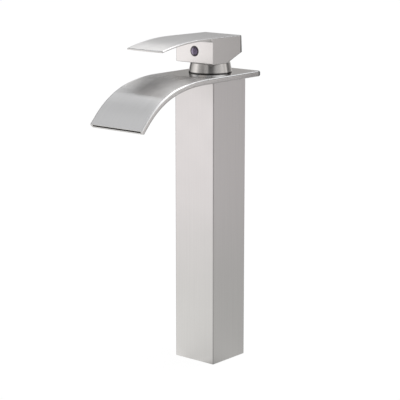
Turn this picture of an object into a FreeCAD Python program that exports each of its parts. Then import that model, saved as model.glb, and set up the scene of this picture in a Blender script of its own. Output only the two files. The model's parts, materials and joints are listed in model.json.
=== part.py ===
import FreeCAD, Part
import math
import os
import re
import Sketcher

# Tall single-lever waterfall basin tap for a deck with one tap hole.
#
# A square column carries a flat hollow spout that bends down into a wide slot, a conical
# bonnet that clamps the spout, and a lever cast in one piece with its square hub.  Inside,
# two tubes bring hot and cold water up to a valve body with a ceramic disc cartridge.
#
# Frame, in millimetres: origin at the centre of the column's foot on the deck, +Z up,
# the spout and the lever point to -Y, +X is to the right of someone who faces +Y.
# Hot water is on the user's left, which is -X.

SIZES = {
    # Square column
    "column_width": 45.6,
    "column_height": 263.2,
    "column_wall": 2.0,
    "column_corner": 0.8,
    # Clearances, each one between two faces
    "push_fit": 0.05,
    "running_fit": 0.05,
    "slide_gap": 0.1,
    "free_gap": 0.3,
    # Foot: block that takes the hoses and the fixing studs, with a ring gasket under it
    "block_height": 26.0,
    "gasket_thickness": 2.0,
    "gasket_width": 2.6,
    "gasket_margin": 1.3,
    "hose_radius": 4.46,
    "hose_depth": 11.0,
    "stud_radius": 3.32,
    "stud_depth": 14.0,
    "stud_offset": 11.5,
    # Rigid tubes from the foot to the valve body
    "inlet_offset": 8.0,
    "tube_radius": 5.0,
    "tube_wall": 1.0,
    "socket_depth": 8.0,
    "socket_waterway": 3.4,
    "tube_ring": 0.75,
    # Valve body
    "flange_thickness": 12.0,
    "barrel_radius": 17.5,
    "barrel_height": 28.0,
    "neck_radius": 16.0,
    "neck_gap": 0.4,
    "floor_depth": 28.0,
    "seat_depth": 4.0,
    "window_width": 6.0,
    "window_post": 2.0,
    # Hollow waterfall spout: flat, then two arcs bending down, then a short straight lip
    "spout_width": 61.0,
    "spout_thickness": 5.2,
    "spout_skin": 1.0,
    "spout_side": 2.6,
    "spout_edge": 1.9,
    "spout_under_edge": 1.7,
    "spout_corner": 3.0,
    "spout_rear": 36.5,
    "spout_flat": 41.7,
    "bend_first": 159.2,
    "turn_first": 13.1,
    "bend_second": 85.7,
    "turn_second": 46.8,
    "spout_lip": 8.7,
    "slot_height": 2.3,
    "weir_length": 5.0,
    "boss_wall": 3.2,
    # Bonnet
    "bonnet_wall": 3.8,
    "bonnet_taper": 1.8,
    "bonnet_height": 9.4,
    "bonnet_gap": 0.9,
    "bonnet_lip": 2.0,
    "bonnet_edge": 0.5,
    "bonnet_bevel": 0.4,
    # Round seals: radius of each cord, and how far the big ones stand off the neck
    "spout_ring": 0.9,
    "bonnet_ring": 0.75,
    "housing_ring": 0.6,
    "ring_margin": 1.0,
    # Ceramic disc cartridge
    "cartridge_radius": 12.5,
    "housing_wall": 1.3,
    "flange_step": 1.5,
    "flange_height": 3.6,
    "barrel_wall": 1.5,
    "housing_inset": 0.6,
    "web_drop": 1.6,
    "nut_inset": 0.6,
    "nut_height": 4.0,
    "nut_slot": 3.0,
    "nut_slot_depth": 1.5,
    "base_lift": 0.4,
    "base_height": 8.6,
    "port_side": 3.9,
    "port_front": 2.6,
    "port_radius": 1.9,
    "outlet_back": 3.2,
    "outlet_radius": 2.8,
    "seal_width": 1.1,
    "seal_depth": 1.5,
    "seal_proud": 0.3,
    "peg_radius": 1.5,
    "peg_length": 2.4,
    "peg_margin": 2.9,
    "sill_height": 0.2,
    "lintel_height": 0.6,
    "disc_thickness": 4.0,
    "disc_film": 0.05,
    "chamber_radius": 7.3,
    "chamber_front": 0.82,
    "chamber_depth": 1.8,
    "key_margin": 0.25,
    "key_length": 1.25,
    "key_width": 3.0,
    "key_depth": 1.6,
    "carrier_height": 5.6,
    "ridge_width": 8.0,
    "ridge_length": 10.4,
    "ridge_height": 3.0,
    "collar_barrel": 8.45,
    "collar_proud": 0.3,
    "swivel_limit": 45.0,
    "stop_half": 8.0,
    "stop_play": 1.0,
    "stop_length": 1.8,
    # Stem and its pivot
    "stem_tilt": 10.0,
    "stem_width": 7.0,
    "stem_headroom": 2.95,
    "stem_below": 6.0,
    "stem_bevel": 0.6,
    "stem_neck": 1.8,
    "ball_radius": 2.5,
    "ball_arm": 12.0,
    "ball_gap": 0.2,
    "socket_floor": 1.85,
    "pin_radius": 1.5,
    # Lever and hub, one casting
    "hub_width": 43.3,
    "hub_front": 22.2,
    "hub_rear_top": 18.3,
    "hub_rear_low": 19.1,
    "hub_gap": 0.7,
    "hub_height": 23.25,
    "heel_start": 1.5,
    "heel_height": 8.2,
    "lever_slope": 0.8,
    "lever_straight": 32.6,
    "lever_bend": 230.2,
    "lever_reach": 89.3,
    "blade_root": 2.1,
    "blade_tip": 1.3,
    "blade_width": 41.7,
    "throat_radius": 3.0,
    "tip_bow": 0.5,
    "tip_corner": 1.2,
    "lever_edge": 1.1,
    "hub_corner": 0.9,
    "hub_rim": 0.6,
    "hub_wall": 3.6,
    "cavity_rear": 9.0,
    "hub_roof": 2.95,
    "boss_radius": 7.5,
    "boss_inset": 1.53,
    "rib_half": 4.6,
    "rib_inset": 5.7,
    # Index plug and the grub screw behind it
    "plug_height": 10.6,
    "plug_radius": 4.6,
    "plug_depth": 2.4,
    "plug_dome": 0.5,
    "plug_spigot": 1.6,
    "spigot_length": 1.44,
    "screw_radius": 2.5,
    "screw_length": 8.0,
    "screw_socket": 1.25,
    "screw_key_depth": 3.2,
    # How far a cut passes the face that it opens
    "cut_past": 1.0,
}

X_AXIS = FreeCAD.Vector(1, 0, 0)
Z_AXIS = FreeCAD.Vector(0, 0, 1)
TOUCHING = 1e-3

doc = FreeCAD.newDocument("waterfall_basin_tap")
sheet = doc.addObject("Spreadsheet::Sheet", "sizes")
for row, (size_name, size) in enumerate(SIZES.items(), start=1):
    sheet.set(f"A{row}", size_name)
    sheet.set(f"B{row}", str(size))
    sheet.setAlias(f"B{row}", size_name)
doc.recompute()

# Heights and lengths that several pieces share, as formulas of the sizes above.
INNER_WIDTH = "(column_width - 2 * column_wall - 2 * push_fit)"
GASKET_OUTER = "(column_width / 2 - column_wall - gasket_margin)"
GASKET_INNER = f"({GASKET_OUTER} - gasket_width)"
VALVE_FOOT = "(column_height - flange_thickness - barrel_height)"
VALVE_FLOOR = "(column_height - floor_depth)"
SPOUT_TOP = "(column_height + spout_thickness)"
SPOUT_SEAM = "(spout_skin + slot_height)"
SPOUT_HOLE = "(neck_radius + slide_gap)"
SPOUT_RING_CENTRE = "(neck_radius + ring_margin + spout_ring)"
BONNET_RING_CENTRE = "(neck_radius + ring_margin + bonnet_ring)"
BONNET_FOOT_RADIUS = "(neck_radius + bonnet_wall)"
BONNET_TOP = f"({SPOUT_TOP} + bonnet_height)"
NECK_TOP = f"({BONNET_TOP} - bonnet_lip - neck_gap)"

# The cartridge: radii from its own radius inwards, heights from the neck's top and its floor.
HOUSING_BORE = "(cartridge_radius - housing_wall)"
HOUSING_FLANGE = "(cartridge_radius + flange_step)"
HOUSING_BARREL = "(collar_barrel + running_fit + barrel_wall)"
CAVITY_RADIUS = f"({HOUSING_FLANGE} + push_fit)"
BONNET_OPENING = f"({HOUSING_BARREL} + bonnet_gap)"
PEG_OFFSET = "(cartridge_radius - peg_margin)"
STOP_INNER = f"({HOUSING_BORE} - stop_length)"
COLLAR_FLANGE = f"({HOUSING_BORE} - free_gap)"
FLANGE_TOP = f"({NECK_TOP} - nut_inset - nut_height)"
FLANGE_BOTTOM = f"({FLANGE_TOP} - flange_height)"
WEB_BOTTOM = f"({FLANGE_BOTTOM} - web_drop)"
HOUSING_TOP = f"({BONNET_TOP} - housing_inset)"
COLLAR_TOP = f"({HOUSING_TOP} + collar_proud)"
BASE_FOOT = f"({VALVE_FLOOR} + base_lift)"
BASE_TOP = f"({BASE_FOOT} + base_height)"
FIXED_DISC_FOOT = f"({BASE_TOP} + seal_proud)"
MOVING_DISC_FOOT = f"({FIXED_DISC_FOOT} + disc_thickness + disc_film)"
CARRIER_FOOT = f"({MOVING_DISC_FOOT} + disc_thickness)"
CARRIER_TOP = f"({CARRIER_FOOT} + carrier_height)"
COLLAR_FOOT = f"({CARRIER_TOP} + free_gap)"
BALL_SWING = "(ball_arm * sin(stem_tilt))"
MOVING_DISC_EDGE = f"({HOUSING_BORE} - {BALL_SWING} - free_gap)"
PIVOT = f"({CARRIER_FOOT} + socket_floor + free_gap + ball_radius + ball_arm)"

# The lever: heights from the bonnet's top, lengths along the stem from its pivot.
HUB_BOTTOM = f"({BONNET_TOP} + hub_gap)"
LEVER_BACK = f"({HUB_BOTTOM} + hub_height)"
HUB_CEILING = f"({LEVER_BACK} - hub_roof)"
PLUG_HEIGHT = f"({HUB_BOTTOM} + plug_height)"
STEM_ABOVE = f"(({HUB_CEILING} - {PIVOT}) / cos(stem_tilt) - stem_headroom)"
BOSS_START = f"(({HUB_BOTTOM} + boss_inset - {PIVOT}) / cos(stem_tilt))"
BOSS_END = (f"(({HUB_CEILING} - {PIVOT}) / cos(stem_tilt) + boss_radius * tan(stem_tilt)"
            " + free_gap)")
LEVER_DROOP = "(asin((lever_reach - lever_straight) / lever_bend) / 1 deg + lever_slope)"
LEVER_CREST = f"({LEVER_BACK} + (lever_straight + hub_rear_top) * tan(lever_slope))"
SCREW_REACH = (f"(hub_front * cos(stem_tilt) - ({PLUG_HEIGHT} - {PIVOT}) * sin(stem_tilt)"
               " - stem_width / 2)")


# ---------------------------------------------------------------- formulas and sketches

def cells(formula):
    """Point every size name in a formula at its cell.  Size names all have an underscore."""
    return re.sub(r"[a-z]+(?:_[a-z]+)+", r"sizes.\g<0>", str(formula))


def value(formula):
    """The number that a formula of sizes gives now."""
    result = sheet.evalExpression(cells(formula))
    return float(getattr(result, "Value", result))


def new_body(label):
    """An empty body for one piece."""
    body = doc.addObject("PartDesign::Body", label)
    body.Label = label
    body.AllowCompound = True
    return body


def sketch_on(body, plane, offset="0"):
    """A sketch on one of the body's own planes, moved along the plane's normal."""
    sketch = body.newObject("Sketcher::SketchObject", "Sketch")
    planes = [item for item in body.Origin.OriginFeatures if item.Role == plane]
    sketch.AttachmentSupport = [(planes[0], "")]
    sketch.MapMode = "FlatFace"
    sketch.setExpression(".AttachmentOffset.Base.z", cells(offset))
    return sketch


def fix(sketch, kind, place, formula):
    """Add one dimension and bind it to its formula."""
    index = sketch.addConstraint(Sketcher.Constraint(kind, *place, value(formula)))
    sketch.setExpression(f"Constraints[{index}]", cells(formula))


def arc_through(start, end, radius, turn):
    """The short arc from start to end that turns left (turn = 1) or right (turn = -1)."""
    chord = end - start
    rise = math.sqrt(max(radius ** 2 - (chord.Length / 2) ** 2, 0.0))
    left = FreeCAD.Vector(-chord.y, chord.x, 0).normalize()
    centre = (start + end) / 2 + left * rise * turn
    first, last = (start, end) if turn > 0 else (end, start)
    begin = math.atan2(first.y - centre.y, first.x - centre.x)
    finish = math.atan2(last.y - centre.y, last.x - centre.x)
    if finish < begin:
        finish += 2 * math.pi
    return Part.ArcOfCircle(Part.Circle(centre, Z_AXIS, radius), begin, finish)


def outline(sketch, corners, arcs=None):
    """Draw a closed outline through corners given as (x, y) formulas.

    arcs maps the number of a side to (radius formula, turn) where that side is round.
    """
    arcs = arcs or {}
    offset = sketch.GeometryCount
    points = [FreeCAD.Vector(value(x), value(y), 0) for x, y in corners]
    heads = []
    for side, start in enumerate(points):
        end = points[(side + 1) % len(points)]
        if side in arcs:
            radius, turn = arcs[side]
            sketch.addGeometry(arc_through(start, end, value(radius), turn))
            heads.append(1 if turn > 0 else 2)
        else:
            sketch.addGeometry(Part.LineSegment(start, end))
            heads.append(1)
    for side, (x, y) in enumerate(corners):
        following = (side + 1) % len(points)
        tail = 3 - heads[side]
        sketch.addConstraint(Sketcher.Constraint(
            "Coincident", offset + side, tail, offset + following, heads[following]))
        fix(sketch, "DistanceX", (-1, 1, offset + side, heads[side]), x)
        fix(sketch, "DistanceY", (-1, 1, offset + side, heads[side]), y)
        if side in arcs:
            fix(sketch, "Radius", (offset + side,), arcs[side][0])
    return sketch


def rectangle(sketch, left, bottom, right, top):
    """An upright rectangle."""
    return outline(sketch, [(left, bottom), (right, bottom), (right, top), (left, top)])


def square(sketch, width):
    """A square about the sketch's origin."""
    half = f"{width} / 2"
    return rectangle(sketch, f"-{half}", f"-{half}", half, half)


def circle(sketch, radius, x="0", y="0"):
    """A circle about (x, y)."""
    centre = FreeCAD.Vector(value(x), value(y), 0)
    index = sketch.addGeometry(Part.Circle(centre, Z_AXIS, value(radius)))
    fix(sketch, "DistanceX", (-1, 1, index, 3), x)
    fix(sketch, "DistanceY", (-1, 1, index, 3), y)
    fix(sketch, "Radius", (index,), radius)
    return sketch


def axis_line(sketch, x):
    """A construction line parallel to the sketch's vertical axis, to revolve about."""
    low = FreeCAD.Vector(value(x), 0, 0)
    high = FreeCAD.Vector(value(x), 10, 0)
    index = sketch.addGeometry(Part.LineSegment(low, high), True)
    sketch.addConstraint(Sketcher.Constraint("Vertical", index))
    fix(sketch, "DistanceX", (-1, 1, index, 1), x)
    fix(sketch, "DistanceY", (-1, 1, index, 1), "0")
    fix(sketch, "DistanceY", (-1, 1, index, 2), "10")
    return (sketch, ["Axis0"])


# ---------------------------------------------------------------- features

def pad(body, sketch, length, both_ways=False, down=False):
    """Add material on the sketch's front side, on both sides, or behind it."""
    feature = body.newObject("PartDesign::Pad", "Pad")
    feature.Profile = sketch
    feature.SideType = "Symmetric" if both_ways else "One side"
    feature.Reversed = down
    feature.setExpression("Length", cells(length))
    doc.recompute()
    return feature


def checked_cut(feature, before):
    """Stop where a cut has taken nothing away."""
    doc.recompute()
    if feature.Shape.isNull() or feature.Shape.Volume > before - 1e-6:
        raise ValueError(f"{feature.Label} of {feature.getParent().Label} cuts nothing")
    return feature


def pocket(body, sketch, length, both_ways=False, up=False):
    """Cut behind the sketch, on both sides of it, or in front of it."""
    before = body.Shape.Volume
    feature = body.newObject("PartDesign::Pocket", "Pocket")
    feature.Profile = sketch
    feature.SideType = "Symmetric" if both_ways else "One side"
    feature.Reversed = up
    feature.setExpression("Length", cells(length))
    return checked_cut(feature, before)


def revolve(body, sketch):
    """Turn the sketch once about its own vertical axis."""
    feature = body.newObject("PartDesign::Revolution", "Revolution")
    feature.Profile = sketch
    feature.ReferenceAxis = (sketch, ["V_Axis"])
    feature.Angle = 360.0
    doc.recompute()
    return feature


def groove(body, sketch, axis=None):
    """Cut the sketch away once round an axis."""
    before = body.Shape.Volume
    feature = body.newObject("PartDesign::Groove", "Groove")
    feature.Profile = sketch
    feature.ReferenceAxis = axis or (sketch, ["V_Axis"])
    feature.Angle = 360.0
    return checked_cut(feature, before)


def mirror(body, feature, plane="YZ_Plane"):
    """Repeat a feature on the other side of one of the body's planes."""
    copy = body.newObject("PartDesign::Mirrored", "Mirrored")
    planes = [item for item in body.Origin.OriginFeatures if item.Role == plane]
    copy.MirrorPlane = (planes[0], [""])
    copy.Originals = [feature]
    body.Tip = copy
    doc.recompute()
    return copy


def around(body, feature, count):
    """Repeat a feature evenly about the vertical axis."""
    copies = body.newObject("PartDesign::PolarPattern", "PolarPattern")
    axes = [item for item in body.Origin.OriginFeatures if item.Role == "Z_Axis"]
    copies.Axis = (axes[0], [""])
    copies.Angle = 360.0
    copies.Occurrences = count
    copies.Originals = [feature]
    body.Tip = copies
    doc.recompute()
    return copies


def lies_at(edge, **places):
    """True if both ends of an edge have these coordinates, whatever their sign."""
    for axis, formula in places.items():
        for vertex in edge.Vertexes:
            if abs(abs(getattr(vertex.Point, axis)) - abs(value(formula))) > TOUCHING:
                return False
    return True


def soften(body, kind, size, pick):
    """Round (Fillet) or bevel (Chamfer) the edges that pick chooses."""
    base = body.Tip
    names = [f"Edge{n}" for n, edge in enumerate(base.Shape.Edges, start=1) if pick(edge)]
    if not names:
        raise ValueError(f"no edge to soften on {body.Label}")
    feature = body.newObject(f"PartDesign::{kind}", kind)
    feature.Base = (base, names)
    feature.setExpression("Radius" if kind == "Fillet" else "Size", cells(size))
    doc.recompute()
    return feature


def place(item, x="0", y="0", z="0", angle="0"):
    """Put a piece at (x, y, z), turned about the X axis."""
    item.Placement = FreeCAD.Placement(
        FreeCAD.Vector(value(x), value(y), value(z)), FreeCAD.Rotation(X_AXIS, value(angle)))
    item.setExpression(".Placement.Base.x", cells(x))
    item.setExpression(".Placement.Base.y", cells(y))
    item.setExpression(".Placement.Base.z", cells(z))
    if value(angle):
        item.setExpression(".Placement.Rotation.Angle", cells(angle))
    return item


def ring(label, centre_radius, cord_radius, x="0", z="0"):
    """A round rubber ring lying flat."""
    torus = doc.addObject("Part::Torus", label)
    torus.Label = label
    torus.setExpression("Radius1", cells(centre_radius))
    torus.setExpression("Radius2", cells(cord_radius))
    return place(torus, x=x, z=z)


def tube_sockets(body, mouth, up):
    """Two sockets for the rigid tubes, each with a groove for its round seal.

    mouth is the height of the open end; up is True where the socket goes up from it.
    """
    sketch = sketch_on(body, "XY_Plane", mouth)
    for side in ("", "-"):
        circle(sketch, "tube_radius + push_fit", x=f"{side}inlet_offset")
    pocket(body, sketch, "socket_depth", up=up)
    sign = "+" if up else "-"
    middle = f"({mouth} {sign} socket_depth / 2)"
    sketch = sketch_on(body, "XZ_Plane")
    rectangle(sketch, "inlet_offset", f"{middle} - tube_ring - push_fit",
              "inlet_offset + tube_radius + 2 * tube_ring + 2 * push_fit",
              f"{middle} + tube_ring + push_fit")
    mirror(body, groove(body, sketch, axis_line(sketch, "inlet_offset")))


# ---------------------------------------------------------------- column and foot

def make_column():
    """Square brass tube, open at both ends."""
    body = new_body("column")
    pad(body, square(sketch_on(body, "XY_Plane"), "column_width"), "column_height")
    soften(body, "Fillet", "column_corner",
           lambda edge: lies_at(edge, x="column_width / 2", y="column_width / 2"))
    sketch = square(sketch_on(body, "XY_Plane"), "(column_width - 2 * column_wall)")
    pocket(body, sketch, "column_height", up=True)
    return body


def make_base_block():
    """Brass block in the column's foot: hose inlets below, tube sockets above."""
    body = new_body("base_block")
    pad(body, square(sketch_on(body, "XY_Plane"), INNER_WIDTH), "block_height")
    hoses = sketch_on(body, "XY_Plane")
    for side in ("", "-"):
        circle(hoses, "hose_radius", x=f"{side}inlet_offset")
    pocket(body, hoses, "hose_depth", up=True)
    studs = sketch_on(body, "XY_Plane")
    for side in ("", "-"):
        circle(studs, "stud_radius", y=f"{side}stud_offset")
    pocket(body, studs, "stud_depth", up=True)
    tube_sockets(body, "block_height", up=False)
    waterways = sketch_on(body, "XY_Plane")
    for side in ("", "-"):
        circle(waterways, "socket_waterway", x=f"{side}inlet_offset")
    pocket(body, waterways, "block_height", up=True)
    seat = sketch_on(body, "XY_Plane")
    circle(seat, f"{GASKET_OUTER} + push_fit")
    circle(seat, f"{GASKET_INNER} - push_fit")
    pocket(body, seat, "gasket_thickness", up=True)
    return body


def make_base_gasket():
    """Flat rubber ring in the foot block's groove, pressed flush by the deck."""
    body = new_body("base_gasket")
    sketch = sketch_on(body, "XY_Plane")
    circle(sketch, GASKET_OUTER)
    circle(sketch, GASKET_INNER)
    pad(body, sketch, "gasket_thickness")
    return body


def make_inlet_tube(label, side):
    """Rigid tube from the foot block's socket up to the valve body's socket."""
    body = new_body(label)
    foot = "(block_height - socket_depth)"
    sketch = sketch_on(body, "XY_Plane", foot)
    circle(sketch, "tube_radius", x=f"{side}inlet_offset")
    circle(sketch, "tube_radius - tube_wall", x=f"{side}inlet_offset")
    pad(body, sketch, f"{VALVE_FOOT} + socket_depth - free_gap - {foot}")
    return body


def make_tube_rings():
    """Four round seals, one in each tube socket."""
    lower = "block_height - socket_depth / 2"
    upper = f"{VALVE_FOOT} + socket_depth / 2"
    rings = []
    for height, level in ((lower, "lower"), (upper, "upper")):
        for side, name in (("-", "hot"), ("", "cold")):
            rings.append(ring(f"{level}_{name}_ring", "tube_radius + tube_ring + push_fit",
                              "tube_ring", x=f"{side}inlet_offset", z=height))
    group = doc.addObject("Part::Compound", "tube_o_rings")
    group.Label = "tube_o_rings"
    group.Links = rings
    return group


# ---------------------------------------------------------------- valve body

def make_valve_body():
    """Brass casting brazed into the column's top, with a threaded neck through the spout."""
    body = new_body("valve_body")
    flange_foot = "(column_height - flange_thickness)"
    pad(body, square(sketch_on(body, "XY_Plane", flange_foot), INNER_WIDTH),
        "flange_thickness")
    pad(body, circle(sketch_on(body, "XY_Plane", VALVE_FOOT), "barrel_radius"),
        "barrel_height")
    pad(body, circle(sketch_on(body, "XY_Plane", "column_height"), "neck_radius"),
        f"{NECK_TOP} - column_height")
    # Cavity for the cartridge, and the narrower seat at its floor
    pocket(body, circle(sketch_on(body, "XY_Plane", NECK_TOP), CAVITY_RADIUS),
           f"{NECK_TOP} - {VALVE_FLOOR} - seat_depth")
    seat = circle(sketch_on(body, "XY_Plane", f"{VALVE_FLOOR} + seat_depth"),
                  "cartridge_radius + 2 * push_fit")
    pocket(body, seat, "seat_depth")
    tube_sockets(body, VALVE_FOOT, up=True)
    # Waterways from the sockets to the cartridge's two inlets, and holes for its pegs
    ports = sketch_on(body, "XY_Plane", VALVE_FLOOR)
    for side in ("", "-"):
        circle(ports, "port_radius", x=f"{side}port_side", y="-port_front")
    pocket(body, ports, f"{VALVE_FLOOR} - {VALVE_FOOT} - socket_depth / 2")
    pegs = sketch_on(body, "XY_Plane", VALVE_FLOOR)
    for side in ("", "-"):
        circle(pegs, "peg_radius + slide_gap", y=f"{side}{PEG_OFFSET}")
    pocket(body, pegs, "peg_length")
    # Groove for the seal under the spout
    groove_sketch = sketch_on(body, "XY_Plane", "column_height")
    circle(groove_sketch, f"{SPOUT_RING_CENTRE} + spout_ring + push_fit")
    circle(groove_sketch, f"{SPOUT_RING_CENTRE} - spout_ring - push_fit")
    pocket(body, groove_sketch, "2 * spout_ring")
    # Three windows in the neck let the mixed water into the spout
    windows = sketch_on(body, "XZ_Plane")
    pitch = "(window_width + window_post)"
    for index in (-1, 0, 1):
        rectangle(windows, f"{index} * {pitch} - window_width / 2", "column_height + spout_skin",
                  f"{index} * {pitch} + window_width / 2", f"{SPOUT_TOP} - spout_skin")
    pocket(body, windows, "neck_radius + push_fit", up=True)
    return body


# ---------------------------------------------------------------- spout

def spout_station(number, depth):
    """(y, z) of a station along the spout's side profile, depth below its top surface."""
    bend_z = f"({SPOUT_TOP} - bend_first)"
    second_y = "(-spout_flat - (bend_first - bend_second) * sin(turn_first))"
    second_z = f"({bend_z} + (bend_first - bend_second) * cos(turn_first))"
    end_y = f"({second_y} - (bend_second - {depth}) * sin(turn_second))"
    end_z = f"({second_z} + (bend_second - {depth}) * cos(turn_second))"
    stations = [
        ("spout_rear", f"{SPOUT_TOP} - {depth}"),
        ("-spout_flat", f"{SPOUT_TOP} - {depth}"),
        (f"-spout_flat - (bend_first - {depth}) * sin(turn_first)",
         f"{bend_z} + (bend_first - {depth}) * cos(turn_first)"),
        (end_y, end_z),
        (f"{end_y} - spout_lip * cos(turn_second)", f"{end_z} - spout_lip * sin(turn_second)"),
    ]
    return stations[number]


def spout_layer(sketch, upper, lower, rear="spout_rear", short_of_tip="0"):
    """Side outline of one layer of the spout, between two depths below its top surface."""
    tip = []
    for depth in (upper, lower):
        y, z = spout_station(4, depth)
        tip.append((f"{y} + {short_of_tip} * cos(turn_second)",
                    f"{z} + {short_of_tip} * sin(turn_second)"))
    top = [(rear, spout_station(0, upper)[1])] + [spout_station(n, upper) for n in (1, 2, 3)]
    under = [spout_station(n, lower) for n in (3, 2, 1)] + [(rear, spout_station(0, lower)[1])]
    arcs = {
        1: (f"bend_first - {upper}", 1),
        2: (f"bend_second - {upper}", 1),
        6: (f"bend_second - {lower}", -1),
        7: (f"bend_first - {lower}", -1),
    }
    return outline(sketch, top + tip + under, arcs)


def round_spout_edges(body, level, size):
    """Round the rear corners in plan, then the long outer edges on the outside face."""
    soften(body, "Fillet", "spout_corner",
           lambda edge: edge.Length < value("spout_thickness")
           and lies_at(edge, x="spout_width / 2", y="spout_rear")
           and edge.Vertexes[0].Point.y > 0)
    soften(body, "Fillet", size,
           lambda edge: lies_at(edge, x="spout_width / 2", z=level)
           and min(vertex.Point.y for vertex in edge.Vertexes) < 0)


def make_spout_upper_shell():
    """Top half of the hollow spout, with the visible upper skin."""
    body = new_body("spout_upper_shell")
    pad(body, spout_layer(sketch_on(body, "YZ_Plane"), "0", SPOUT_SEAM), "spout_width",
        both_ways=True)
    round_spout_edges(body, SPOUT_TOP, "spout_edge")
    channel = spout_layer(sketch_on(body, "YZ_Plane"), "spout_skin",
                          f"({SPOUT_SEAM} + cut_past)", rear="(spout_rear - spout_side)",
                          short_of_tip="-cut_past")
    pocket(body, channel, "spout_width - 2 * spout_side", both_ways=True)
    pocket(body, circle(sketch_on(body, "XY_Plane", SPOUT_TOP), SPOUT_HOLE),
           "spout_thickness")
    return body


def make_spout_lower_shell():
    """Bottom half of the spout, with the clamping boss and the weir behind the slot."""
    body = new_body("spout_lower_shell")
    pad(body, spout_layer(sketch_on(body, "YZ_Plane"), SPOUT_SEAM, "spout_thickness"),
        "spout_width", both_ways=True)
    round_spout_edges(body, "column_height", "spout_under_edge")
    channel = spout_layer(sketch_on(body, "YZ_Plane"), f"({SPOUT_SEAM} - cut_past)",
                          "(spout_thickness - spout_skin)",
                          rear="(spout_rear - spout_side)", short_of_tip="weir_length")
    pocket(body, channel, "spout_width - 2 * spout_side", both_ways=True)
    # Clamping boss round the neck, open to the front so that the water can leave
    boss = sketch_on(body, "XY_Plane", "column_height + spout_skin")
    circle(boss, f"{SPOUT_HOLE} + boss_wall")
    pad(body, boss, "spout_thickness - 2 * spout_skin")
    mouth = rectangle(sketch_on(body, "XY_Plane", f"{SPOUT_TOP} - spout_skin"),
                      f"-{SPOUT_HOLE}", f"-{SPOUT_HOLE} - 2 * boss_wall", SPOUT_HOLE, "0")
    pocket(body, mouth, "spout_thickness - 2 * spout_skin")
    pocket(body, circle(sketch_on(body, "XY_Plane", SPOUT_TOP), SPOUT_HOLE),
           "2 * spout_thickness")
    return body


# ---------------------------------------------------------------- bonnet and cartridge

def make_bonnet():
    """Conical cap nut: screws onto the neck and clamps the spout."""
    body = new_body("bonnet")
    thread = "(neck_radius + push_fit)"
    ceiling = f"({BONNET_TOP} - bonnet_lip)"
    corners = [
        (thread, SPOUT_TOP),
        (f"{BONNET_FOOT_RADIUS} - bonnet_bevel", SPOUT_TOP),
        (BONNET_FOOT_RADIUS, f"{SPOUT_TOP} + bonnet_bevel"),
        (f"{BONNET_FOOT_RADIUS} - bonnet_taper", BONNET_TOP),
        (BONNET_OPENING, BONNET_TOP),
        (BONNET_OPENING, ceiling),
        (thread, ceiling),
    ]
    revolve(body, outline(sketch_on(body, "XZ_Plane"), corners))
    soften(body, "Fillet", "bonnet_edge",
           lambda edge: lies_at(edge, z=BONNET_TOP) and edge.Length > 2 * math.pi * value("neck_radius"))
    seal = sketch_on(body, "XY_Plane", SPOUT_TOP)
    circle(seal, f"{BONNET_RING_CENTRE} + bonnet_ring + push_fit")
    circle(seal, f"{BONNET_RING_CENTRE} - bonnet_ring - push_fit")
    pocket(body, seal, "2 * bonnet_ring", up=True)
    return body


def make_cartridge_nut():
    """Ring nut that holds the cartridge down, with four slots for its key."""
    body = new_body("cartridge_nut")
    sketch = sketch_on(body, "XY_Plane", FLANGE_TOP)
    circle(sketch, HOUSING_FLANGE)
    circle(sketch, f"{HOUSING_BARREL} + free_gap")
    pad(body, sketch, "nut_height")
    slot = rectangle(sketch_on(body, "XY_Plane", f"{FLANGE_TOP} + nut_height"),
                     HOUSING_BARREL, "-nut_slot / 2", f"{HOUSING_FLANGE} + cut_past", "nut_slot / 2")
    around(body, pocket(body, slot, "nut_slot_depth"), 4)
    return body


def ring_sector(sketch, inner, outer, half_angle):
    """Part of a ring, centred on +Y, between two radii."""
    start = f"(90 - {half_angle})"
    end = f"(90 + {half_angle})"
    corners = [
        (f"{outer} * cos({start})", f"{outer} * sin({start})"),
        (f"{outer} * cos({end})", f"{outer} * sin({end})"),
        (f"{inner} * cos({end})", f"{inner} * sin({end})"),
        (f"{inner} * cos({start})", f"{inner} * sin({start})"),
    ]
    return outline(sketch, corners, {0: (outer, 1), 2: (inner, -1)})


def make_cartridge_housing():
    """Shell of the cartridge, with a shoulder for the nut and a stop for the collar."""
    body = new_body("cartridge_housing")
    barrel_bore = "(collar_barrel + running_fit)"
    corners = [
        (HOUSING_BORE, BASE_TOP),
        ("cartridge_radius", BASE_TOP),
        ("cartridge_radius", FLANGE_BOTTOM),
        (HOUSING_FLANGE, FLANGE_BOTTOM),
        (HOUSING_FLANGE, FLANGE_TOP),
        (HOUSING_BARREL, FLANGE_TOP),
        (HOUSING_BARREL, HOUSING_TOP),
        (barrel_bore, HOUSING_TOP),
        (barrel_bore, WEB_BOTTOM),
        (HOUSING_BORE, WEB_BOTTOM),
    ]
    revolve(body, outline(sketch_on(body, "XZ_Plane"), corners))
    middle = f"({FLANGE_BOTTOM} + flange_height / 2)"
    seal = rectangle(sketch_on(body, "XZ_Plane"), f"{HOUSING_FLANGE} - 2 * housing_ring",
                     f"{middle} - housing_ring - push_fit", f"{HOUSING_FLANGE} + cut_past",
                     f"{middle} + housing_ring + push_fit")
    groove(body, seal)
    stop = sketch_on(body, "XY_Plane", WEB_BOTTOM)
    ring_sector(stop, STOP_INNER, f"({HOUSING_BORE} + housing_wall / 2)", "stop_half")
    pad(body, stop, f"{WEB_BOTTOM} - {COLLAR_FOOT}", down=True)
    return body


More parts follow.
